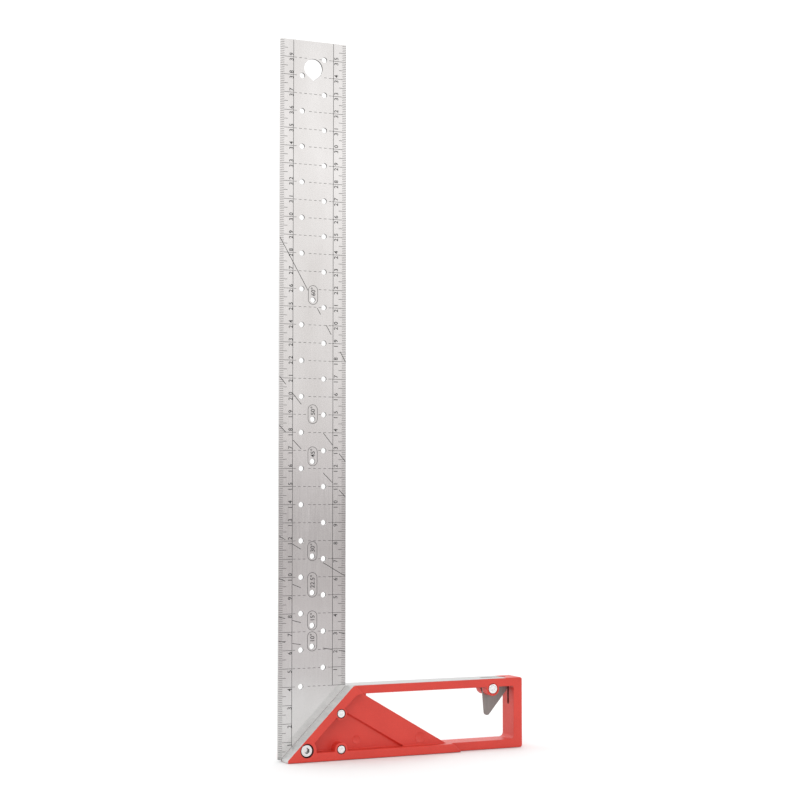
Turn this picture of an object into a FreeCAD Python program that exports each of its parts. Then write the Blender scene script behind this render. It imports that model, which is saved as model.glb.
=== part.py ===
import FreeCAD, Part
import math
import os

from FreeCAD import Vector

# Try and mitre square with a fixed head: a steel blade held in a slotted, die-cast handle,
# with a small swinging ledge lever in the handle's far end. All sizes are in millimetres.
#
# Frame: X runs along the handle, away from the blade's outer edge. Z runs up the blade.
# Y runs through the thickness, from the front of the square (-Y) to its back (+Y).
# The origin is the outer reference corner: the blade's outer edge (X = 0), the handle's
# base plane (Z = 0) and the middle plane of the blade (Y = 0). The outer scale counts from
# Z = 0 and the inner scale from the handle's inner face, at Z = handle_height.

# Blade
blade_width = 40.0
blade_length = 400.0
blade_thickness = 1.2
blade_end_gap = 0.8            # the blade's lower end stands this far above the base plane
blade_corner = 0.6
scribe_radius = 1.5
scribe_left_x = blade_width / 3
scribe_right_x = blade_width * 2 / 3
pilot_x = blade_width / 2
pilot_heights = {60: 254.0, 50: 187.4, 45: 164.0, 30: 111.5, 22.5: 91.4, 15: 73.3, 10: 61.8}
hang_radius = 5.45
hang_height = 384.5
hang_point_drop = 7.0          # from the hanging hole's centre down to its pointed end

# Handle casting
handle_height = 40.0
handle_length = 148.0
mitre_offset = 0.7             # X minus Z along the 45 degree mitre face
mitre_rail_edge = 7.6          # X minus Z along the mitre rail's inner edge
nose_x = 2.2                   # the toe of the mitre face ends in a small upright nose
back_toe_x = 5.8               # the nose's back corner is cut away to here, at the back face
rail = 4.8
end_rail = 5.4
body_half = 10.6               # half the thickness of the thick body beside the blade
frame_half = 7.0               # half the thickness of the open frame
band_half = 6.2                # half the thickness of the web's raised band
web_half = 4.6                 # half the thickness of the web's lower triangle
outer_round = 1.2
window_round = 2.5
window_top_round = 1.25
window_left = 50.2
window_shoulder = 1.2          # the window's upright left end, under the top rail
web_slope = -0.5904            # the web's free edge, rise over run
band_width = 13.6              # across the web's raised band
crease_top_x = 42.0            # where the thick body ends on the inner face
crease_base_x = 107.0          # where the thick body ends on the base plane
pocket_round = 5.0
pocket_corner = 1.2
blade_slot_gap = 0.03          # on each side of the blade
blade_slot_end_gap = 0.05      # past the blade's inner edge

# Fasteners
rivet_places = [(33.5, 5.8), (33.4, 25.3)]
rivet_bosses = [3.8, 3.3]
rivet_shank = 1.7
rivet_head = 2.15
rivet_head_height = 0.9
rivet_seat = 2.55
screw_place = (13.3, 6.2)
screw_boss = 5.7
screw_shank = 2.0
screw_head = 3.5
screw_head_height = 3.0
screw_head_recess = 0.6
screw_seat = 3.85
screw_length = 15.0
screw_hole_spare = 0.6         # empty hole past the screw's end
screw_blade_gap = 0.2          # around the screw where it crosses the blade
screw_chamfer = 0.4
hex_flats = 3.0
hex_depth = 1.8

# Ledge lever, its pivot and its slot. Outline places are measured from the pivot's axis.
pivot_x = 129.2
pivot_z = 34.1
pivot_shank = 1.8
pivot_head = 2.7
pivot_head_height = 0.8
pivot_seat = 3.15
pivot_lobe = 4.0
lever_front = -0.85
lever_back = 0.65
lever_top = 4.8
lever_side = -3.95
lever_bore_gap = 0.05
lever_shoulder_round = 3.5
lever_corner = 0.6
arm_reach = 12.6
tip_vertex = (-2.04, -18.19)
tip_round = 1.75
arm_low = -1.1
lever_slot_half = 0.95
slot_left = -4.9
slot_arm_radius = 12.9
slot_tip_radius = 16.6
slot_step = 3.0
slot_bottom = -11.7
washer_outer = 3.4
washer_front = 0.68
washer_back = 0.93

fit_gap = 0.02                 # around a fixed shank in its hole
past = 1.0                     # how far a cutter runs past what it cuts


def rounded_face(corners):
    """A face in the XZ plane. Each corner is (x, z) or (x, z, radius)."""
    edges = []
    ends = []
    count = len(corners)
    for i in range(count):
        here = Vector(corners[i][0], 0, corners[i][1])
        before = Vector(corners[i - 1][0], 0, corners[i - 1][1])
        after = Vector(corners[(i + 1) % count][0], 0, corners[(i + 1) % count][1])
        radius = corners[i][2] if len(corners[i]) > 2 else 0
        if radius == 0:
            ends.append((here, here, None))
            continue
        to_before = (before - here).normalize()
        to_after = (after - here).normalize()
        half = to_before.getAngle(to_after) / 2
        start = here + to_before * (radius / math.tan(half))
        stop = here + to_after * (radius / math.tan(half))
        bisector = (to_before + to_after).normalize()
        middle = here + bisector * (radius / math.sin(half) - radius)
        ends.append((start, stop, middle))
    for i in range(count):
        start, stop, middle = ends[i]
        if middle is not None:
            edges.append(Part.Arc(start, middle, stop).toShape())
        following = ends[(i + 1) % count][0]
        if stop.distanceToPoint(following) > 1e-6:
            edges.append(Part.makeLine(stop, following))
    return Part.Face(Part.Wire(edges))


def prism(corners, front, back):
    """The rounded outline, extruded along Y from front to back."""
    solid = rounded_face(corners).extrude(Vector(0, back - front, 0))
    solid.translate(Vector(0, front, 0))
    return solid


def peg(x, z, radius, front, back):
    """A cylinder along Y."""
    return Part.makeCylinder(radius, back - front, Vector(x, front, z), Vector(0, 1, 0))


def mirrored(solid):
    """The same solid on the other side of the blade's middle plane."""
    return solid.mirror(Vector(0, 0, 0), Vector(0, 1, 0))


def window_edge_height(x):
    """Height of the web's free edge at x."""
    return handle_height - rail - window_shoulder + web_slope * (x - window_left)


def window_edge_x(z):
    """Place along X of the web's free edge at height z."""
    return window_left + (z - window_edge_height(window_left)) / web_slope


def toe():
    """The blunt end of the mitre face, the same for the frame and the thick body."""
    return [(nose_x, 0), (nose_x, nose_x - mitre_offset)]


def toe_corner():
    """What is cut from the toe's back corner."""
    reach = (back_toe_x - nose_x) / body_half
    places = [
        (nose_x - past, 0),
        (nose_x, 0),
        (nose_x + reach * (body_half + past), body_half + past),
        (nose_x - past, body_half + past),
    ]
    plan = [Vector(x, y, -past) for x, y in places]
    face = Part.Face(Part.makePolygon(plan + plan[:1]))
    return face.extrude(Vector(0, 0, back_toe_x + 2 * past))


def handle_outline():
    return toe() + [
        (mitre_offset + handle_height, handle_height),
        (handle_length, handle_height, outer_round),
        (handle_length, 0, outer_round),
    ]


def window_outline():
    right = handle_length - end_rail
    return [
        (window_left, handle_height - rail),
        (right, handle_height - rail, window_top_round),
        (right, rail, window_round),
        (window_edge_x(rail), rail),
        (window_left, window_edge_height(window_left)),
    ]


def body_outline():
    top = handle_height - rail
    return toe() + [
        (mitre_offset + handle_height, handle_height),
        (crease_top_x, handle_height),
        (crease_top_x + rail, top),
        (window_left, top),
        (window_left, window_edge_height(window_left)),
        (window_edge_x(rail), rail),
        (crease_base_x - rail, rail),
        (crease_base_x, 0),
    ]


def pocket_cutter(depth_half, below_band):
    """What is cut from the front of the thick body, down to depth_half from the middle."""
    top = handle_height - rail
    cutter = prism([
        (mitre_rail_edge + rail, rail, pocket_corner),
        (mitre_rail_edge + top, top, pocket_round),
        (window_left + past, top),
        (window_edge_x(rail) + past, rail),
    ], -body_half - past, -depth_half)
    if below_band:
        drop = band_width / math.cos(math.atan(web_slope))
        triangle = [
            (0, window_edge_height(0) - drop),
            (0, -past),
            (window_edge_x(drop - past), -past),
        ]
        cutter = cutter.common(prism(triangle, -body_half - past, -depth_half))
    bosses = [(x, z, radius) for (x, z), radius in zip(rivet_places, rivet_bosses)]
    bosses.append((screw_place[0], screw_place[1], screw_boss))
    for x, z, radius in bosses:
        cutter = cutter.cut(peg(x, z, radius, -body_half - 2 * past, body_half))
    return cutter


def lever_slot():
    """Room in the handle for the lever: open to the inner face and cut into the end rail."""
    def at(x, z):
        return Vector(pivot_x + x, 0, pivot_z + z)

    def on_circle(radius, z):
        return at(math.sqrt(radius ** 2 - z ** 2), z)

    inner_face = handle_height - pivot_z
    above = inner_face + past
    arm_top = on_circle(slot_arm_radius, inner_face)
    arm_foot = on_circle(slot_arm_radius, slot_step)
    tip_top = on_circle(slot_tip_radius, slot_step)
    tip_foot = on_circle(slot_tip_radius, slot_bottom)
    rim = Vector(arm_top.x, 0, pivot_z + above)
    edges = [
        Part.makeLine(at(slot_left, above), at(slot_left, slot_bottom)),
        Part.makeLine(at(slot_left, slot_bottom), tip_foot),
        Part.Arc(tip_foot, on_circle(slot_tip_radius, (slot_bottom + slot_step) / 2), tip_top).toShape(),
        Part.makeLine(tip_top, arm_foot),
        Part.Arc(arm_foot, on_circle(slot_arm_radius, (slot_step + inner_face) / 2), arm_top).toShape(),
        Part.makeLine(arm_top, rim),
        Part.makeLine(rim, at(slot_left, above)),
    ]
    face = Part.Face(Part.Wire(edges))
    slot = face.extrude(Vector(0, 2 * lever_slot_half, 0))
    slot.translate(Vector(0, -lever_slot_half, 0))
    return slot


def handle_casting():
    frame = prism(handle_outline(), -frame_half, frame_half)
    frame = frame.cut(prism(window_outline(), -frame_half - past, frame_half + past))
    frame = frame.fuse(peg(pivot_x, pivot_z, pivot_lobe, -frame_half, frame_half))
    casting = frame.fuse(prism(body_outline(), -body_half, body_half))
    for cutter in (pocket_cutter(band_half, False), pocket_cutter(web_half, True)):
        casting = casting.cut(cutter).cut(mirrored(cutter))

    half = blade_thickness / 2 + blade_slot_gap
    length = past + blade_width + blade_slot_end_gap
    height = handle_height + 2 * past
    casting = casting.cut(Part.makeBox(length, 2 * half, height, Vector(-past, -half, -past)))
    casting = casting.cut(lever_slot()).cut(toe_corner())

    for x, z in rivet_places:
        casting = casting.cut(peg(x, z, rivet_shank + fit_gap, -body_half - past, body_half + past))
        seat = peg(x, z, rivet_seat, -body_half - past, -body_half + rivet_head_height)
        casting = casting.cut(seat).cut(mirrored(seat))
    bore = peg(pivot_x, pivot_z, pivot_shank + fit_gap, -frame_half - past, frame_half + past)
    seat = peg(pivot_x, pivot_z, pivot_seat, -frame_half - past, -frame_half + pivot_head_height)
    casting = casting.cut(bore).cut(seat).cut(mirrored(seat))

    x, z = screw_place
    floor = -body_half + screw_head_recess + screw_head_height
    hole_end = floor + screw_length + screw_hole_spare
    casting = casting.cut(peg(x, z, screw_seat, -body_half - past, floor))
    casting = casting.cut(peg(x, z, screw_shank + fit_gap, floor - past, hole_end))
    return casting.removeSplitter()


def teardrop():
    """The hanging hole: a circle drawn down to a point by its two tangents."""
    half_angle = math.asin(hang_radius / hang_point_drop)
    tangent_x = hang_radius * math.cos(half_angle)
    tangent_z = -hang_radius * math.sin(half_angle)
    left = Vector(pilot_x - tangent_x, 0, hang_height + tangent_z)
    right = Vector(pilot_x + tangent_x, 0, hang_height + tangent_z)
    top = Vector(pilot_x, 0, hang_height + hang_radius)
    point = Vector(pilot_x, 0, hang_height - hang_point_drop)
    edges = [Part.Arc(left, top, right).toShape(), Part.makeLine(right, point), Part.makeLine(point, left)]
    hole = Part.Face(Part.Wire(edges)).extrude(Vector(0, blade_thickness + 2 * past, 0))
    hole.translate(Vector(0, -blade_thickness / 2 - past, 0))
    return hole


def blade():
    half = blade_thickness / 2
    plate = prism([
        (0, blade_end_gap, blade_corner),
        (blade_width, blade_end_gap, blade_corner),
        (blade_width, blade_length, blade_corner),
        (0, blade_length, blade_corner),
    ], -half, half)
    holes = [(scribe_left_x, 10.0 * cm, scribe_radius) for cm in range(4, 39, 2)]
    holes += [(scribe_right_x, 10.0 * cm, scribe_radius) for cm in range(5, 40, 2)]
    holes += [(pilot_x, height, scribe_radius) for height in pilot_heights.values()]
    holes += [(x, z, rivet_shank + fit_gap) for x, z in rivet_places]
    holes.append((screw_place[0], screw_place[1], screw_shank + screw_blade_gap))
    cutters = [peg(x, z, radius, -half - past, half + past) for x, z, radius in holes]
    cutters.append(teardrop())
    return plate.cut(Part.makeCompound(cutters))


def rivet(x, z, shank, head, head_height, half):
    """A flush rivet with a flat head at each end."""
    solid = peg(x, z, shank, -half, half)
    front = peg(x, z, head, -half, -half + head_height)
    return solid.fuse(front).fuse(mirrored(front)).removeSplitter()


def blade_rivets():
    return Part.makeCompound([
        rivet(x, z, rivet_shank, rivet_head, rivet_head_height, body_half) for x, z in rivet_places
    ])


def pivot_rivet():
    return rivet(pivot_x, pivot_z, pivot_shank, pivot_head, pivot_head_height, frame_half)


def blade_screw():
    x, z = screw_place
    top = -body_half + screw_head_recess
    under = top + screw_head_height
    head = peg(x, z, screw_head, top, under)
    rim = [edge for edge in head.Edges if len(edge.Vertexes) == 1 and abs(edge.CenterOfMass.y - top) < 1e-6]
    head = head.makeChamfer(screw_chamfer, rim)
    corners = []
    for i in range(6):
        angle = math.radians(60 * i + 30)
        reach = hex_flats / 2 / math.cos(math.radians(30))
        corners.append((x + reach * math.cos(angle), z + reach * math.sin(angle)))
    socket = prism(corners, top - past, top + hex_depth)
    shank = peg(x, z, screw_shank, under, under + screw_length)
    return head.fuse(shank).cut(socket).removeSplitter()


def ledge_lever():
    places = [
        (lever_side, lever_top, lever_shoulder_round),
        (tip_vertex[0], tip_vertex[1], tip_round),
        (math.sqrt(arm_reach ** 2 - arm_low ** 2), arm_low, lever_corner),
        (math.sqrt(arm_reach ** 2 - lever_top ** 2), lever_top, lever_corner),
    ]
    corners = [(pivot_x + p[0], pivot_z + p[1], p[2]) for p in places]
    plate = prism(corners, lever_front, lever_back)
    return plate.cut(peg(pivot_x, pivot_z, pivot_shank + lever_bore_gap, -past, past))


def spring_washer():
    disc = peg(pivot_x, pivot_z, washer_outer, washer_front, washer_back)
    return disc.cut(peg(pivot_x, pivot_z, pivot_shank + lever_bore_gap, -past, past))


parts = {
    "handle_casting": handle_casting(),
    "blade": blade(),
    "blade_rivets": blade_rivets(),
    "blade_screw": blade_screw(),
    "ledge_lever": ledge_lever(),
    "pivot_rivet": pivot_rivet(),
    "spring_washer": spring_washer(),
}

os.makedirs("parts", exist_ok=True)
for name, shape in parts.items():
    shape.exportStep(os.path.join("parts", name + ".step"))
    box = shape.BoundBox
    print(name, "solids", len(shape.Solids), "valid", shape.isValid(), "volume", round(shape.Volume, 1),
          "x", round(box.XMin, 2), round(box.XMax, 2), "y", round(box.YMin, 2), round(box.YMax, 2),
          "z", round(box.ZMin, 2), round(box.ZMax, 2))
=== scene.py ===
import math

import bmesh
import bpy
from mathutils import Matrix, Vector

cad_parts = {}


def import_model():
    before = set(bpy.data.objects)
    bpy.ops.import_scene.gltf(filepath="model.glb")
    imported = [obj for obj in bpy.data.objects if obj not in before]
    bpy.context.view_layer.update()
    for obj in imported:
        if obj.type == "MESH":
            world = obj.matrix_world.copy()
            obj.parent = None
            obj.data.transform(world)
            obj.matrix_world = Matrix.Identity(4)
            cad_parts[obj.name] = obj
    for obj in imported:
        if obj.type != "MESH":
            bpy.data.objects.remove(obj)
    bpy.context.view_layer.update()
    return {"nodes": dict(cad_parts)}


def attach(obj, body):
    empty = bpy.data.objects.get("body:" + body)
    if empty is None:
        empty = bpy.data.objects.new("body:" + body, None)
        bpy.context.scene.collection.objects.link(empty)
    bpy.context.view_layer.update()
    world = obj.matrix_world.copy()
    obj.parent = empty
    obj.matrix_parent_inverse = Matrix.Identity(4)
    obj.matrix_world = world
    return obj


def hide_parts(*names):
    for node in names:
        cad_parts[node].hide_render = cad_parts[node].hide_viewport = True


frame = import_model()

# The looks of a try and mitre square. Lengths are in millimetres until they reach a mesh.
MM = 0.001

# ---------------------------------------------------------------- sizes shared with the CAD
BLADE_WIDTH = 40.0
BLADE_HALF = 0.6
BLADE_LENGTH = 400.0
BLADE_FOOT = 0.8
HANDLE_HEIGHT = 40.0
MITRE_OFFSET = 0.7
RAIL = 4.8
BODY_HALF = 10.6
FRAME_HALF = 7.0
BAND_HALF = 6.2
WEB_HALF = 4.6
SCREW = (13.3, 6.2)
RIVETS = ((33.5, 5.8), (33.4, 25.3))
PIVOT = (129.2, 34.1)
HOLE_RADIUS = 1.5
LEFT_HOLE_X = BLADE_WIDTH / 3
RIGHT_HOLE_X = BLADE_WIDTH * 2 / 3
PILOT_X = BLADE_WIDTH / 2
PILOTS = {"60": 254.0, "50": 187.4, "45": 164.0, "30": 111.5, "22.5": 91.4, "15": 73.3, "10": 61.8}
HANG = (20.0, 384.5, 5.45)


# ---------------------------------------------------------------- small mesh tools
WELD = 0.002                      # the CAD's doubled points are closer than this
FLAT_ANGLE = math.radians(0.3)
SHARP_ANGLE = math.radians(28)    # edges folded less than this get no bevel
SMOOTH_TURN = math.radians(35)    # edges that turn less than this run on as one


def finished(bm, name, body, materials, smooth_angle=38):
    """Turns a bmesh in millimetres into an object of the square that rides on a body."""
    mesh = bpy.data.meshes.new(name)
    bmesh.ops.recalc_face_normals(bm, faces=bm.faces)
    bmesh.ops.scale(bm, vec=(MM, MM, MM), verts=bm.verts)
    for face in bm.faces:
        face.smooth = True
    bm.to_mesh(mesh)
    bm.free()
    mesh.set_sharp_from_angle(angle=math.radians(smooth_angle))
    piece = bpy.data.objects.new(name, mesh)
    bpy.context.scene.collection.objects.link(piece)
    for made in materials:
        mesh.materials.append(made)
    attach(piece, body)
    return piece


def from_cad(node):
    """The CAD node's shape in millimetres, with each flat area joined into one face."""
    bm = bmesh.new()
    bm.from_mesh(frame["nodes"][node].data)
    bmesh.ops.scale(bm, vec=(1 / MM, 1 / MM, 1 / MM), verts=bm.verts)
    bmesh.ops.remove_doubles(bm, verts=bm.verts, dist=WELD)
    bmesh.ops.dissolve_limit(bm, angle_limit=FLAT_ANGLE, verts=bm.verts, edges=bm.edges)
    return bm


def neighbours(edge):
    """The edges that carry on smoothly past either end of an edge."""
    found = []
    for vert in edge.verts:
        away = (vert.co - edge.other_vert(vert).co).normalized()
        for other in vert.link_edges:
            ahead = (other.other_vert(vert).co - vert.co).normalized()
            same_side = len(other.link_faces) == 2 and other.is_convex == edge.is_convex
            if other is not edge and same_side and ahead.dot(away) > math.cos(SMOOTH_TURN):
                found.append(other)
    return found


def soften(bm, width_of, widest, segments, name):
    """Bevels each sharp edge by width_of(edge), and returns the new mesh as a bmesh.

    Edges that run smoothly into each other share one width, the least of theirs.
    """
    layer = bm.edges.layers.float.new("bevel_weight_edge")
    sharp = [e for e in bm.edges if len(e.link_faces) == 2 and e.calc_face_angle() > SHARP_ANGLE]
    waiting = set(sharp)
    while waiting:
        chain = [waiting.pop()]
        for edge in chain:
            joined = [e for e in neighbours(edge) if e in waiting]
            waiting.difference_update(joined)
            chain.extend(joined)
        width = min(width_of(edge) for edge in chain)
        for edge in chain:
            edge[layer] = min(1.0, width / widest)
    mesh = bpy.data.meshes.new(name)
    bm.to_mesh(mesh)
    bm.free()
    helper = bpy.data.objects.new(name, mesh)
    bpy.context.scene.collection.objects.link(helper)
    bevel = helper.modifiers.new("bevel", "BEVEL")
    bevel.limit_method = "WEIGHT"
    bevel.width = widest
    bevel.segments = segments
    bevel.use_clamp_overlap = False
    graph = bpy.context.evaluated_depsgraph_get()
    result = bmesh.new()
    result.from_mesh(helper.evaluated_get(graph).to_mesh())
    bpy.data.objects.remove(helper)
    bpy.data.meshes.remove(mesh)
    return result


def keep_flats_flat(piece):
    """Weighs the normals by face area, so that large flat faces shade flat."""
    weigh = piece.modifiers.new("weighted", "WEIGHTED_NORMAL")
    weigh.keep_sharp = True
    weigh.weight = 80


def box_into(bm, low, high):
    """Adds a closed box between two corners."""
    made = bmesh.ops.create_cube(bm, size=1.0)["verts"]
    size = [high[i] - low[i] for i in range(3)]
    middle = Vector([(high[i] + low[i]) / 2 for i in range(3)])
    bmesh.ops.scale(bm, vec=size, verts=made)
    bmesh.ops.translate(bm, vec=middle, verts=made)
    return made


def lathe_into(bm, profile, centre, side, segments=64):
    """Revolves (radius, height) points about Y. side is -1 for the front, +1 for the back."""
    x, z = centre
    rings = []
    for radius, height in profile:
        if radius == 0:
            rings.append([bm.verts.new((x, side * height, z))])
            continue
        ring = []
        for i in range(segments):
            angle = 2 * math.pi * i / segments
            point = (x + radius * math.cos(angle), side * height, z + radius * math.sin(angle))
            ring.append(bm.verts.new(point))
        rings.append(ring)
    for near, far in zip(rings, rings[1:]):
        for i in range(segments):
            j = (i + 1) % segments
            corners = []
            for ring, k in ((near, i), (near, j), (far, j), (far, i)):
                vert = ring[k % len(ring)]
                if vert not in corners:
                    corners.append(vert)
            bm.faces.new(corners)


# ---------------------------------------------------------------- materials
def new_material(name, colour, metallic, roughness):
    made = bpy.data.materials.new(name)
    made.use_nodes = True
    shader = made.node_tree.nodes["Principled BSDF"]
    shader.inputs["Base Color"].default_value = (*colour, 1)
    shader.inputs["Metallic"].default_value = metallic
    shader.inputs["Roughness"].default_value = roughness
    made.diffuse_color = (*colour, 1)
    return made, made.node_tree, shader


def noise(tree, scale, stretch=(1, 1, 1), detail=3.0):
    """A noise value over the piece's own coordinates. scale is in features per metre."""
    where = tree.nodes.new("ShaderNodeTexCoord")
    mapping = tree.nodes.new("ShaderNodeMapping")
    mapping.inputs["Scale"].default_value = stretch
    tree.links.new(where.outputs["Object"], mapping.inputs["Vector"])
    texture = tree.nodes.new("ShaderNodeTexNoise")
    texture.inputs["Scale"].default_value = scale
    texture.inputs["Detail"].default_value = detail
    tree.links.new(mapping.outputs["Vector"], texture.inputs["Vector"])
    return texture.outputs["Fac"]


def axes_of(tree, kind="Object"):
    """X, Y and Z of a point on the piece or, with "Generated" in a world, of a direction."""
    where = tree.nodes.new("ShaderNodeTexCoord")
    split = tree.nodes.new("ShaderNodeSeparateXYZ")
    tree.links.new(where.outputs[kind], split.inputs["Vector"])
    return split.outputs


def ramp(tree, value, stops):
    """Colours between stops, each (place, colour)."""
    node = tree.nodes.new("ShaderNodeValToRGB")
    elements = node.color_ramp.elements
    while len(elements) < len(stops):
        elements.new(0.5)
    for element, (place, colour) in zip(elements, stops):
        element.position = place
        element.color = (*colour, 1)
    tree.links.new(value, node.inputs["Fac"])
    return node.outputs["Color"]


def span(tree, value, low, high, start=0.3, stop=0.7):
    """Maps a value from start..stop to low..high. Noise runs from about 0.3 to 0.7."""
    node = tree.nodes.new("ShaderNodeMapRange")
    node.inputs["From Min"].default_value = start
    node.inputs["From Max"].default_value = stop
    node.inputs["To Min"].default_value = low
    node.inputs["To Max"].default_value = high
    tree.links.new(value, node.inputs["Value"])
    return node.outputs["Result"]


def times(tree, colour, factor):
    """A colour darkened by a grey value."""
    node = tree.nodes.new("ShaderNodeMix")
    node.data_type = "RGBA"
    node.blend_type = "MULTIPLY"
    node.inputs["Factor"].default_value = 1.0
    tree.links.new(colour, node.inputs["A"])
    tree.links.new(factor, node.inputs["B"])
    return node.outputs["Result"]


def bumps(tree, shader, layers):
    """Chains bump nodes. Each layer is (height value, distance in metres, strength)."""
    normal = None
    for height, distance, strength in layers:
        node = tree.nodes.new("ShaderNodeBump")
        node.inputs["Strength"].default_value = strength
        node.inputs["Distance"].default_value = distance
        tree.links.new(height, node.inputs["Height"])
        if normal is not None:
            tree.links.new(normal, node.inputs["Normal"])
        normal = node.outputs["Normal"]
    tree.links.new(normal, shader.inputs["Normal"])


def red_paint():
    """Satin red paint with a fine orange peel."""
    made, tree, shader = new_material("red_paint", (0.54, 0.042, 0.024), 0.0, 0.42)
    broad = ramp(tree, noise(tree, 45.0), [
        (0.3, (0.58, 0.038, 0.024)), (0.7, (0.63, 0.044, 0.028)),
    ])
    speckle = span(tree, noise(tree, 2200.0, detail=2.0), 0.94, 1.04)
    colour = times(tree, broad, speckle)
    tree.links.new(colour, shader.inputs["Base Color"])
    tree.links.new(span(tree, noise(tree, 700.0), 0.36, 0.50), shader.inputs["Roughness"])
    bumps(tree, shader, [
        (noise(tree, 130.0), 0.0004, 0.25),
        (noise(tree, 1500.0, detail=2.0), 0.00006, 0.5),
    ])
    return made


def slot_paint():
    """Dark red for the rough walls of the slots and seats: painted shade of these recesses, mottled at
    random.
    """
    made, tree, shader = new_material("slot_paint", (0.13, 0.012, 0.010), 0.0, 0.65)
    # random mottle over the painted shade colour, and over its roughness
    shade_mottle = noise(tree, 600.0)
    colour = ramp(tree, shade_mottle, [(0.3, (0.085, 0.009, 0.008)), (0.7, (0.18, 0.016, 0.012))])
    tree.links.new(colour, shader.inputs["Base Color"])
    tree.links.new(span(tree, shade_mottle, 0.55, 0.75), shader.inputs["Roughness"])
    bumps(tree, shader, [(noise(tree, 1500.0), 0.00006, 0.5)])
    return made


def cut_edge():
    """The punched walls of the blade's holes: rough, darker steel, darkened further with painted shade.
    It also gives the painted shade in the screw's socket and along the blade's slot in the handle.
    """
    made, tree, shader = new_material("cut_edge", (0.12, 0.12, 0.12), 0.2, 0.7)
    grain = noise(tree, 1.0, stretch=(2400, 500, 2400))
    colour = ramp(tree, grain, [(0.3, (0.08, 0.078, 0.076)), (0.7, (0.16, 0.157, 0.154))])
    tree.links.new(colour, shader.inputs["Base Color"])
    tree.links.new(span(tree, grain, 0.6, 0.8), shader.inputs["Roughness"])
    bumps(tree, shader, [(grain, 0.00003, 0.5)])
    return made


def machined(name, dark, light):
    """Bare die-cast metal, milled across: fine lines that run through the thickness."""
    made, tree, shader = new_material(name, (light, light, light), 0.9, 0.5)
    lines = noise(tree, 1.0, stretch=(2600, 90, 2600), detail=2.0)
    colour = ramp(tree, lines, [(0.3, (dark, dark, dark)), (0.7, (light, light, light * 0.99))])
    tree.links.new(colour, shader.inputs["Base Color"])
    tree.links.new(span(tree, lines, 0.42, 0.58), shader.inputs["Roughness"])
    bumps(tree, shader, [(lines, 0.00003, 0.6)])
    return made


def blade_steel():
    """Satin stainless steel: fine grinding lines along the blade and faint broad clouds.

    It is darker over its lowest 100 mm, as a stand-in for what the steel reflects there.
    """
    made, tree, shader = new_material("blade_satin", (0.78, 0.77, 0.76), 1.0, 0.14)
    grind = noise(tree, 1.0, stretch=(3800, 3800, 70), detail=4.0)
    clouds = ramp(tree, noise(tree, 38.0, stretch=(1, 1, 0.45), detail=5.0), [
        (0.32, (0.74, 0.725, 0.715)), (0.68, (0.83, 0.82, 0.815)),
    ])
    colour = times(tree, clouds, span(tree, grind, 0.965, 1.02))
    colour = times(tree, colour, span(tree, noise(tree, 1500.0, detail=2.0), 0.95, 1.03))
    colour = times(tree, colour, span(tree, axes_of(tree)["Z"], 0.80, 1.0, 0.025, 0.10))
    tree.links.new(colour, shader.inputs["Base Color"])
    tree.links.new(span(tree, grind, 0.11, 0.18), shader.inputs["Roughness"])
    bumps(tree, shader, [(grind, 0.000012, 0.5)])
    return made


def etched():
    """Dark marks etched into the blade."""
    made, tree, shader = new_material("etched_mark", (0.05, 0.05, 0.05), 0.0, 0.6)
    colour = ramp(tree, noise(tree, 900.0), [(0.3, (0.035, 0.035, 0.036)), (0.7, (0.085, 0.083, 0.08))])
    tree.links.new(colour, shader.inputs["Base Color"])
    return made


def bright_steel(name, tone, rough):
    """Turned steel of one grey tone, with a fine grain."""
    made, tree, shader = new_material(name, (tone, tone, tone * 0.99), 1.0, rough)
    fine = noise(tree, 1900.0, detail=4.0)
    low, high = tone * 0.93, min(1.0, tone * 1.04)
    colour = ramp(tree, fine, [(0.3, (low, low, low)), (0.7, (high, high, high * 0.99))])
    tree.links.new(colour, shader.inputs["Base Color"])
    tree.links.new(span(tree, fine, rough * 0.8, rough * 1.25), shader.inputs["Roughness"])
    bumps(tree, shader, [(fine, 0.00002, 0.5)])
    return made


def lever_steel():
    """Dark tumbled steel with a few grinding lines."""
    made, tree, shader = new_material("lever_dark", (0.24, 0.215, 0.205), 0.6, 0.5)
    grind = noise(tree, 1.0, stretch=(900, 900, 120), detail=4.0)
    colour = ramp(tree, grind, [(0.3, (0.22, 0.198, 0.188)), (0.7, (0.27, 0.245, 0.235))])
    tree.links.new(colour, shader.inputs["Base Color"])
    tree.links.new(span(tree, grind, 0.42, 0.60), shader.inputs["Roughness"])
    bumps(tree, shader, [(grind, 0.00004, 0.6)])
    return made


RED = red_paint()
# dark red for the walls of the slots and seats: painted shade
SHADED_SLOT = slot_paint()
# dark steel: the cut walls' own colour and painted shade in holes, socket and slot
CUT_AND_SHADE = cut_edge()
BARE = machined("machined_mitre", 0.60, 0.72)
# the same machined metal as the mitre face, darker: painted shade on the inner face
SHADED_BARE_TOP = machined("machined_inner_shaded", 0.43, 0.54)
STEEL = blade_steel()
MARK = etched()
RIVET = bright_steel("rivet_bright", 0.86, 0.24)
SCREW_METAL = bright_steel("screw_bright", 0.80, 0.22)
LEVER = lever_steel()
WASHER = bright_steel("washer_spring", 0.52, 0.34)


# ---------------------------------------------------------------- handle casting
MITRE_NORMAL = Vector((-1, 0, 1)).normalized()
BARE_END_X = 137.5       # the inner face is bare up to here
NOSE_END_X = 6.2
SLOT_NEAR = 1.0          # anything this close to the middle plane belongs to a slot
SEAT_REACH = 3.95
SEAT_FACET = 3.0         # the facets of a seat's round wall are smaller than this, in mm2
PIVOT_LOBE = 4.0
SHOULDER = (46.0, 51.0)  # along X, the left end of the window
SHOULDER_REACH = 1.5
WINDOW_END_X = 143.0     # just past the window's end wall
STEP_RISE = 5.0          # the web's long step climbs more than this
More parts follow.
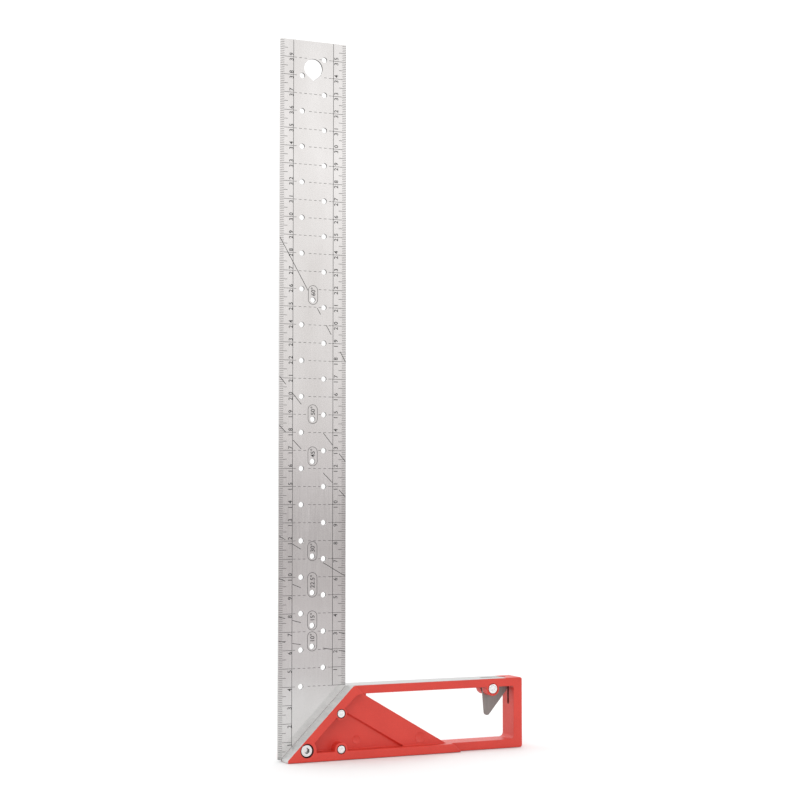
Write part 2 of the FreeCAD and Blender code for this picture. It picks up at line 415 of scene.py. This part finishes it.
# widths of the casting's bevels and fillets
WIDEST_EDGE = 1.1        # also the fillet at the foot of the web's step
FILLET = 0.55
PLAIN_EDGE = 0.4
FACE_EDGE = 0.3          # round the inner face, the window and the pivot's lobe
MITRE_SLOT_EDGE = 0.28
SHOULDER_EDGE = 0.25
CUT_EDGE = 0.12          # where a face was machined
SEAT_EDGE = 0.07
SLOT_EDGE = 0.06
# material slots of the casting
RED_AT, BARE_AT, SHADED_SLOT_AT, CUT_AND_SHADE_AT, SHADED_BARE_TOP_AT = range(5)
SEATS = [(place, 2.55) for place in RIVETS] + [(SCREW, 3.85)]


def on_mitre(face):
    return all(abs(v.co.x - v.co.z - MITRE_OFFSET) < 0.01 for v in face.verts)


def on_nose(face):
    """The small blunt end of the toe, cut with the mitre face."""
    return all(v.co.x < NOSE_END_X and v.co.z < NOSE_END_X for v in face.verts) and face.normal.x < -0.5


def on_inner(face):
    return all(abs(v.co.z - HANDLE_HEIGHT) < 0.01 for v in face.verts)


def at_shoulder(place):
    """The crowded corner where the web's free edge meets the top rail."""
    return SHOULDER[0] < place.x < SHOULDER[1] and abs(place.z - HANDLE_HEIGHT + RAIL) < SHOULDER_REACH


def handle_edge_width(edge):
    """Bevel or fillet width of one of the casting's edges, in millimetres."""
    first, last = edge.verts[0].co, edge.verts[1].co
    middle = (first + last) / 2
    if any(on_mitre(f) or on_nose(f) for f in edge.link_faces):
        return MITRE_SLOT_EDGE if abs(middle.y) < SLOT_NEAR else CUT_EDGE
    if any(on_inner(f) for f in edge.link_faces):
        return CUT_EDGE if abs(middle.y) < SLOT_NEAR else FACE_EDGE
    if abs(middle.y) < SLOT_NEAR:
        return SLOT_EDGE
    round_wall = any(abs(f.normal.y) < 0.5 and f.calc_area() < SEAT_FACET for f in edge.link_faces)
    for x, z in (*RIVETS, SCREW, PIVOT):
        if round_wall and math.hypot(middle.x - x, middle.z - z) < SEAT_REACH:
            return SEAT_EDGE
    if any(at_shoulder(v.co) for v in edge.verts):
        return SHOULDER_EDGE
    if not edge.is_convex:
        on_web = abs(abs(middle.y) - WEB_HALF) < 0.05
        return WIDEST_EDGE if on_web and abs(first.z - last.z) > STEP_RISE else FILLET
    if math.hypot(middle.x - PIVOT[0], middle.z - PIVOT[1]) < PIVOT_LOBE + 0.1:
        return FACE_EDGE
    inside = RAIL - 0.1 < middle.z < HANDLE_HEIGHT - RAIL + 0.1 and middle.x < WINDOW_END_X
    if inside and abs(abs(middle.y) - FRAME_HALF) < 0.1:
        return FACE_EDGE
    return PLAIN_EDGE


def in_slot(face):
    """True for the walls of the blade's slot, the lever's slot and the rivet and screw seats."""
    if all(abs(v.co.y) < SLOT_NEAR for v in face.verts):
        return True
    for (x, z), radius in SEATS:
        if all(math.hypot(v.co.x - x, v.co.z - z) < radius + 0.05 for v in face.verts):
            return True
    return False


def handle():
    """The casting with its edges softened, painted but for the machined faces."""
    bm = from_cad("handle_casting")
    bmesh.ops.bisect_plane(
        bm, geom=[*bm.verts, *bm.edges, *bm.faces], plane_co=(BARE_END_X, 0, 0), plane_no=(1, 0, 0))
    for face in bm.faces:
        centre = face.calc_center_median()
        if on_mitre(face) or on_nose(face):
            face.material_index = BARE_AT
        # the inner face takes the darker copy of the machined metal: painted shade
        elif on_inner(face) and centre.x < BARE_END_X:
            face.material_index = SHADED_BARE_TOP_AT
        else:
            # the walls of the slots and seats take the painted shade colour
            face.material_index = SHADED_SLOT_AT if in_slot(face) else RED_AT
    bm = soften(bm, handle_edge_width, WIDEST_EDGE, 3, "handle_soft")
    for face in bm.faces:
        # the bevels along the blade's slot in the mitre face get dark steel: a painted shadow line
        # along the slot
        turned = 0.2 < face.normal.dot(MITRE_NORMAL) < 0.97
        outside = face.material_index in (RED_AT, BARE_AT)
        if outside and turned and all(abs(v.co.y) < SLOT_NEAR for v in face.verts):
            face.material_index = CUT_AND_SHADE_AT
    piece = finished(bm, "handle_body", "square", [RED, BARE, SHADED_SLOT, CUT_AND_SHADE, SHADED_BARE_TOP])
    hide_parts("handle_casting")
    keep_flats_flat(piece)


def ejector_marks():
    """Shallow round witness marks that the mould's pins leave, on both sides of the web."""
    bm = bmesh.new()
    for centre, radius, level in (((44.9, 9.9), 2.4, WEB_HALF), ((83.2, 9.2), 3.0, BAND_HALF)):
        for side in (-1, 1):
            profile = [
                (0, level + 0.05), (radius - 0.35, level + 0.05), (radius - 0.2, level + 0.16),
                (radius, level + 0.16), (radius + 0.14, level - 0.02), (0, level - 0.02),
            ]
            lathe_into(bm, profile, centre, side)
    piece = finished(bm, "handle_ejector_marks", "square", [RED])
    keep_flats_flat(piece)


# ---------------------------------------------------------------- blade and its scale
def blade():
    """The steel blade, with the punched walls of its holes darker: rough cut steel and painted shade.
    """
    bm = from_cad("blade")
    for face in bm.faces:
        centre = face.calc_center_median()
        edge_gap = min(centre.x, BLADE_WIDTH - centre.x, BLADE_LENGTH - centre.z, centre.z - BLADE_FOOT)
        # the holes' walls get the dark steel: their rough cut, deepened with painted shade
        face.material_index = 1 if abs(face.normal.y) < 0.5 and edge_gap > 1 else 0
    bm = soften(bm, lambda edge: 0.09, 0.09, 2, "blade_soft")
    piece = finished(bm, "blade_plate", "square", [STEEL, CUT_AND_SHADE])
    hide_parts("blade")
    keep_flats_flat(piece)


MARK_TOP = BLADE_HALF + 0.012
MARK_FOOT = BLADE_HALF - 0.02
LEFT_LINE = 8.05         # the two long ruled lines
RIGHT_LINE = 32.1
RULED_WIDTH = 0.3
TICK_START = 0.12        # gap between the blade's edge and its graduations
HALF_TICK, SHORT_TICK = 4.6, 2.5
HALF_WIDTH, SHORT_WIDTH = 0.25, 0.21
MITRE_GAP = 0.4          # marks stop this far short of the handle
DASH, DASH_PITCH, DASH_COUNT = 1.6, 3.0, 8
DASH_START, DASH_BAR, DASH_WIDTH, DASH_CLEAR = 8.4, 31.3, 0.24, 2.4
DIGIT_HEIGHT = 2.45
DIGIT_STEP = 2.4 * 0.62  # from a number's middle to each of its two digits
TOP_CLEAR = 5            # no number is closer to the blade's end
ANGLE_WIDTH, ANGLE_CLEAR = 0.36, 1.7
LABEL_HALF, LABEL_WIDTH, LABEL_HEIGHT, LABEL_FOOT = 2.78, 0.27, 2.55, 1.3
LABEL_BELOW, LABEL_ABOVE, LONG_LABEL_ABOVE = 2.5, 8.05, 11.0
ARC_STEPS = 24
CAP_HEIGHT = 0.729       # of the typeface, as a part of its size


class Marks:
    """Thin etched marks on one side of the blade. side is -1 for the front, +1 for the back."""

    def __init__(self, side):
        self.side = side
        self.bm = bmesh.new()

    def bar(self, x0, x1, z, width):
        """A mark across the blade."""
        ends = sorted((self.side * MARK_FOOT, self.side * MARK_TOP))
        box_into(self.bm, (x0, ends[0], z - width / 2), (x1, ends[1], z + width / 2))

    def line(self, a, b, width):
        """A mark between any two points (x, z)."""
        start, stop = Vector((a[0], 0, a[1])), Vector((b[0], 0, b[1]))
        along = stop - start
        made = box_into(self.bm, (0, 0, -width / 2), (along.length, 1, width / 2))
        for vert in made:
            depth = MARK_TOP if vert.co.y > 0.5 else MARK_FOOT
            vert.co.y = 0
            turned = start + along.normalized() * vert.co.x
            across = Vector((-along.z, 0, along.x)).normalized() * vert.co.z
            vert.co = turned + across
            vert.co.y = self.side * depth

    def curve(self, points, width):
        """A closed mitred ribbon along points (x, z)."""
        count = len(points)
        rings = []
        for i, (x, z) in enumerate(points):
            before, after = points[i - 1], points[(i + 1) % count]
            along = Vector((after[0] - before[0], after[1] - before[1])).normalized()
            across = Vector((-along.y, along.x)) * width / 2
            ring = []
            for k, depth in ((1, MARK_TOP), (-1, MARK_TOP), (-1, MARK_FOOT), (1, MARK_FOOT)):
                place = (x + k * across.x, self.side * depth, z + k * across.y)
                ring.append(self.bm.verts.new(place))
            rings.append(ring)
        for i in range(count):
            near, far = rings[i], rings[(i + 1) % count]
            for k in range(4):
                j = (k + 1) % 4
                self.bm.faces.new((near[k], near[j], far[j], far[k]))

    def words(self, text, x, z, height):
        """Text that reads upwards, with its foot on the line at x and its middle at z."""
        font = bpy.data.curves.new("words", "FONT")
        font.body = text
        font.size = height / CAP_HEIGHT
        font.align_x = "CENTER"
        font.extrude = (MARK_TOP - MARK_FOOT) / 2
        font.offset = 0.05
        font.resolution_u = 3
        holder = bpy.data.objects.new("words", font)
        bpy.context.scene.collection.objects.link(holder)
        graph = bpy.context.evaluated_depsgraph_get()
        mesh = bpy.data.meshes.new_from_object(holder.evaluated_get(graph))
        up = Vector((self.side, 0, 0))
        frame_of = Matrix((
            (0, up.x, 0, x), (0, 0, self.side, self.side * (MARK_TOP + MARK_FOOT) / 2),
            (1, 0, 0, z), (0, 0, 0, 1),
        ))
        mesh.transform(frame_of)
        self.bm.from_mesh(mesh)
        bpy.data.objects.remove(holder)
        bpy.data.curves.remove(font)
        bpy.data.meshes.remove(mesh)


def mitre_x(z):
    """Where the handle's mitre face crosses the blade at height z."""
    return z + MITRE_OFFSET


def near_hole(x, z, reach):
    """True within reach of a scribing hole's middle, or close to the hanging hole."""
    holes = [(LEFT_HOLE_X, 10.0 * cm) for cm in range(4, 39, 2)]
    holes += [(RIGHT_HOLE_X, 10.0 * cm) for cm in range(5, 40, 2)]
    if any(math.hypot(x - a, z - b) < reach for a, b in holes):
        return True
    return math.hypot(x - HANG[0], z - HANG[1]) < HANG[2] + 0.9


def label_box(name):
    """Low and high ends of the outline round an angle's label and pilot hole."""
    pilot = PILOTS[name]
    return pilot - LABEL_BELOW, pilot + (LONG_LABEL_ABOVE if len(name) > 2 else LABEL_ABOVE)


def in_label(x, z):
    return abs(x - PILOT_X) < 3.4 and any(
        label_box(n)[0] - 0.4 < z < label_box(n)[1] + 0.4 for n in PILOTS)


def tick_length(mm, longest):
    """How far a graduation reaches in from the blade's edge."""
    if mm % 10 == 0:
        return longest
    return HALF_TICK if mm % 5 == 0 else SHORT_TICK


def ticks(marks):
    """Millimetre graduations on both edges, and the two long ruled lines."""
    for mm in range(1, int(BLADE_LENGTH)):
        width = HALF_WIDTH if mm % 5 == 0 else SHORT_WIDTH
        reach = tick_length(mm, LEFT_LINE)
        if mm <= HANDLE_HEIGHT:
            reach = min(reach, mitre_x(mm) - MITRE_GAP)
        if reach > MITRE_GAP:
            marks.bar(TICK_START, reach, float(mm), width)
        inner = mm - HANDLE_HEIGHT
        if inner >= 0:
            reach = tick_length(inner, BLADE_WIDTH - RIGHT_LINE)
            marks.bar(BLADE_WIDTH - reach, BLADE_WIDTH - TICK_START, float(mm), width)
    top = BLADE_LENGTH - 0.3
    for x, foot in ((LEFT_LINE, LEFT_LINE - MITRE_OFFSET + 0.3), (RIGHT_LINE, HANDLE_HEIGHT)):
        marks.line((x, foot), (x, top), RULED_WIDTH)


def dashes(marks):
    """Broken lines across the middle of the blade, one each centimetre."""
    starts = [DASH_START + DASH_PITCH * k for k in range(DASH_COUNT)]
    for cm in range(4, 40):
        z = 10.0 * cm
        for x in starts:
            middle = x + DASH / 2
            if not near_hole(middle, z, DASH_CLEAR) and not in_label(middle, z):
                marks.bar(x, x + DASH, z, DASH_WIDTH)
        marks.bar(DASH_BAR, RIGHT_LINE, z, DASH_WIDTH)


def numbers(marks):
    """Centimetre numbers beside both ruled lines, reading upwards."""
    left_foot = LEFT_LINE - 0.12
    right_top = RIGHT_LINE + 0.42
    for count, base, foot, top in (
        (39, 0, left_foot, left_foot - DIGIT_HEIGHT),
        (35, HANDLE_HEIGHT, RIGHT_LINE + 0.42 + DIGIT_HEIGHT, right_top),
    ):
        # the back reads the same way up, so its digits stand on the other end
        x = foot if marks.side < 0 else top
        for cm in range(1, count + 1):
            z = base + 10.0 * cm
            if z >= BLADE_LENGTH - TOP_CLEAR:
                continue
            marks.words(str(cm)[0], x, z - DIGIT_STEP, DIGIT_HEIGHT)
            if cm >= 10:
                marks.words(str(cm)[1], x, z + DIGIT_STEP, DIGIT_HEIGHT)


def angle_lines(marks):
    """The seven angle lines, broken at the numbers, each with its outlined label."""
    for name, pilot in PILOTS.items():
        slope = math.tan(math.radians(float(name)))

        def at(x):
            return (x, pilot + (PILOT_X - x) * slope)

        if name == "60":
            spans = [(0.2, 17.0), (22.6, 24.6), (28.0, 31.0), (36.4, 39.8)]
        elif name in ("30", "22.5"):
            spans = [(0.2, 4.0), (8.3, 13.2), (26.4, 39.8)]
        else:
            spans = [(0.2, 4.0), (8.3, 13.2), (26.4, 31.8), (35.9, 39.8)]
        for a, b in spans:
            if not any(near_hole(*at(x), ANGLE_CLEAR) for x in (a, b)):
                marks.line(at(a), at(b), ANGLE_WIDTH)
        low, high = label_box(name)
        points = []
        for start, middle in ((0, high - LABEL_HALF), (math.pi, low + LABEL_HALF)):
            for i in range(ARC_STEPS + 1):
                angle = start + math.pi * i / ARC_STEPS
                x = PILOT_X + LABEL_HALF * math.cos(angle)
                points.append((x, middle + LABEL_HALF * math.sin(angle)))
        marks.curve(points, LABEL_WIDTH)
        foot = PILOT_X - marks.side * LABEL_FOOT
        marks.words(name + "°", foot, (pilot + HOLE_RADIUS + high) / 2 - 0.1, LABEL_HEIGHT)


def scale_marks(side, name):
    """The etched scale on one side of the blade, as one piece."""
    marks = Marks(side)
    ticks(marks)
    dashes(marks)
    numbers(marks)
    angle_lines(marks)
    bmesh.ops.remove_doubles(marks.bm, verts=marks.bm.verts, dist=0.0005)
    finished(marks.bm, name, "square", [MARK])


# ---------------------------------------------------------------- fasteners and lever
SOCKET_REACH = 1.8       # the hexagon socket's walls are closer to the screw's axis
SOCKET_FLOOR = -5.0      # and lie in front of this


def flush_rivet(bm, centre, shank, head, height, half):
    """A flush rivet turned in one go: dimpled face, rolled rim, head and shank."""
    face = [
        (0, half - 0.07), (0.45, half - 0.05), (0.62, half), (head - 0.32, half),
        (head - 0.12, half - 0.05), (head, half - 0.18), (head, half - height), (shank, half - height),
    ]
    lathe_into(bm, face + [(r, -y) for r, y in reversed(face)], centre, -1)


def rivets():
    bm = bmesh.new()
    for centre in RIVETS:
        flush_rivet(bm, centre, 1.7, 2.15, 0.9, BODY_HALF)
    piece = finished(bm, "blade_rivet_pair", "square", [RIVET], 50)
    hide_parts("blade_rivets")
    bm = bmesh.new()
    flush_rivet(bm, PIVOT, 1.8, 2.7, 0.8, FRAME_HALF)
    pivot = finished(bm, "lever_pivot", "square", [RIVET], 50)
    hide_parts("pivot_rivet")
    keep_flats_flat(piece)
    keep_flats_flat(pivot)


def screw():
    """The blade's socket screw, with a dark hexagon socket: painted shade on its walls."""
    bm = from_cad("blade_screw")
    for face in bm.faces:
        near = all(math.hypot(v.co.x - SCREW[0], v.co.z - SCREW[1]) < SOCKET_REACH for v in face.verts)
        wall = abs(face.normal.y) < 0.5 and face.calc_center_median().y < SOCKET_FLOOR
        # the socket's walls get the dark steel: painted shade in the socket
        face.material_index = 1 if near and wall else 0
    bm = soften(bm, lambda edge: 0.08, 0.08, 2, "screw_soft")
    piece = finished(bm, "blade_socket_screw", "square", [SCREW_METAL, CUT_AND_SHADE])
    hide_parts("blade_screw")
    keep_flats_flat(piece)


def lever():
    bm = soften(from_cad("ledge_lever"), lambda edge: 0.14, 0.14, 3, "lever_soft")
    piece = finished(bm, "ledge_plate", "ledge", [LEVER])
    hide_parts("ledge_lever")
    keep_flats_flat(piece)


handle()
ejector_marks()
blade()
scale_marks(-1, "scale_front")
scale_marks(1, "scale_back")
rivets()
screw()
lever()
washer_node = frame["nodes"]["spring_washer"]
washer_node.data.materials.clear()
washer_node.data.materials.append(WASHER)


# ---------------------------------------------------------------- stage, light and camera
def stage():
    """A pale floor that fades to grey in front, for the blade to reflect."""
    made, tree, shader = new_material("pale_floor", (0.93, 0.93, 0.93), 0.0, 0.9)
    tree.links.new(ramp(tree, span(tree, axes_of(tree)["Y"], 0.0, 1.0, -2.0, 2.0), [
        (0.0, (0.42, 0.395, 0.395)), (0.30, (0.51, 0.48, 0.485)), (0.395, (0.55, 0.525, 0.53)),
        (0.44, (0.78, 0.78, 0.78)), (0.5, (0.82, 0.82, 0.82)), (0.65, (0.88, 0.88, 0.88)),
        (0.87, (0.97, 0.97, 0.97)),
    ]), shader.inputs["Base Color"])
    mesh = bpy.data.meshes.new("floor")
    side, front, back = 20.0, 20.0, 6.0
    mesh.from_pydata(
        [(-side, -front, 0), (side, -front, 0), (side, back, 0), (-side, back, 0)], [], [(0, 1, 2, 3)])
    floor = bpy.data.objects.new("floor", mesh)
    bpy.context.scene.collection.objects.link(floor)
    mesh.materials.append(made)
    floor.location.z = -0.0002  # just clear of the square's base


def area_light(name, place, target, size, power):
    light = bpy.data.lights.new(name, "AREA")
    light.shape = "DISK"
    light.size = size
    light.energy = power
    lamp = bpy.data.objects.new(name, light)
    bpy.context.scene.collection.objects.link(lamp)
    lamp.location = place
    lamp.rotation_mode = "QUATERNION"
    lamp.rotation_quaternion = (Vector(target) - Vector(place)).to_track_quat("-Z", "Y")


def world():
    """Bright behind the square. In front: dim at eye level, brighter higher up."""
    made = bpy.data.worlds.new("studio")
    made.use_nodes = True
    bpy.context.scene.world = made
    tree = made.node_tree
    back = tree.nodes["Background"]
    direction = axes_of(tree, "Generated")
    front = ramp(tree, span(tree, direction["Z"], 0.0, 1.0, -0.05, 0.75), [
        (0.035, (0.35, 0.32, 0.325)), (0.057, (0.38, 0.345, 0.35)), (0.078, (0.86, 0.82, 0.82)),
        (0.135, (0.90, 0.88, 0.87)), (0.225, (1.01, 0.99, 0.98)), (0.31, (1.15, 1.13, 1.12)),
        (0.50, (0.92, 0.92, 0.92)), (0.81, (0.60, 0.60, 0.60)),
    ])
    mix = tree.nodes.new("ShaderNodeMix")
    mix.data_type = "RGBA"
    tree.links.new(span(tree, direction["Y"], 0.0, 1.0, -0.15, 0.25), mix.inputs["Factor"])
    tree.links.new(front, mix.inputs["A"])
    behind = ramp(tree, span(tree, direction["Z"], 0.0, 1.0, 0.0, 0.6), [
        (0.2, (1.03, 1.03, 1.03)), (0.9, (1.65, 1.65, 1.65)),
    ])
    tree.links.new(behind, mix.inputs["B"])
    tree.links.new(mix.outputs["Result"], back.inputs["Color"])
    back.inputs["Strength"].default_value = 1.0


FOCAL_WIDTHS = 1756.46 / 800    # focal length in picture widths


def camera():
    """Left of the square's front and low, looking slightly up."""
    data = bpy.data.cameras.new("camera")
    data.sensor_width = 36.0
    data.lens = FOCAL_WIDTHS * data.sensor_width
    data.clip_start, data.clip_end = 0.05, 50.0
    eye = bpy.data.objects.new("camera", data)
    bpy.context.scene.collection.objects.link(eye)
    azimuth, pitch = math.radians(24.531), math.radians(2.954)
    level = math.cos(pitch)
    ahead = Vector((math.sin(azimuth) * level, math.cos(azimuth) * level, math.sin(pitch)))
    eye.location = (-0.341066, -0.908674, 0.147733)
    eye.rotation_mode = "QUATERNION"
    eye.rotation_quaternion = ahead.to_track_quat("-Z", "Y")
    bpy.context.scene.camera = eye


stage()
world()
area_light("key", (-0.9, -1.3, 1.5), (0.05, 0, 0.15), 1.2, 13)
area_light("fill", (1.4, -0.8, 0.9), (0.05, 0, 0.15), 1.4, 6)
camera()
bpy.context.scene.view_settings.view_transform = "Standard"
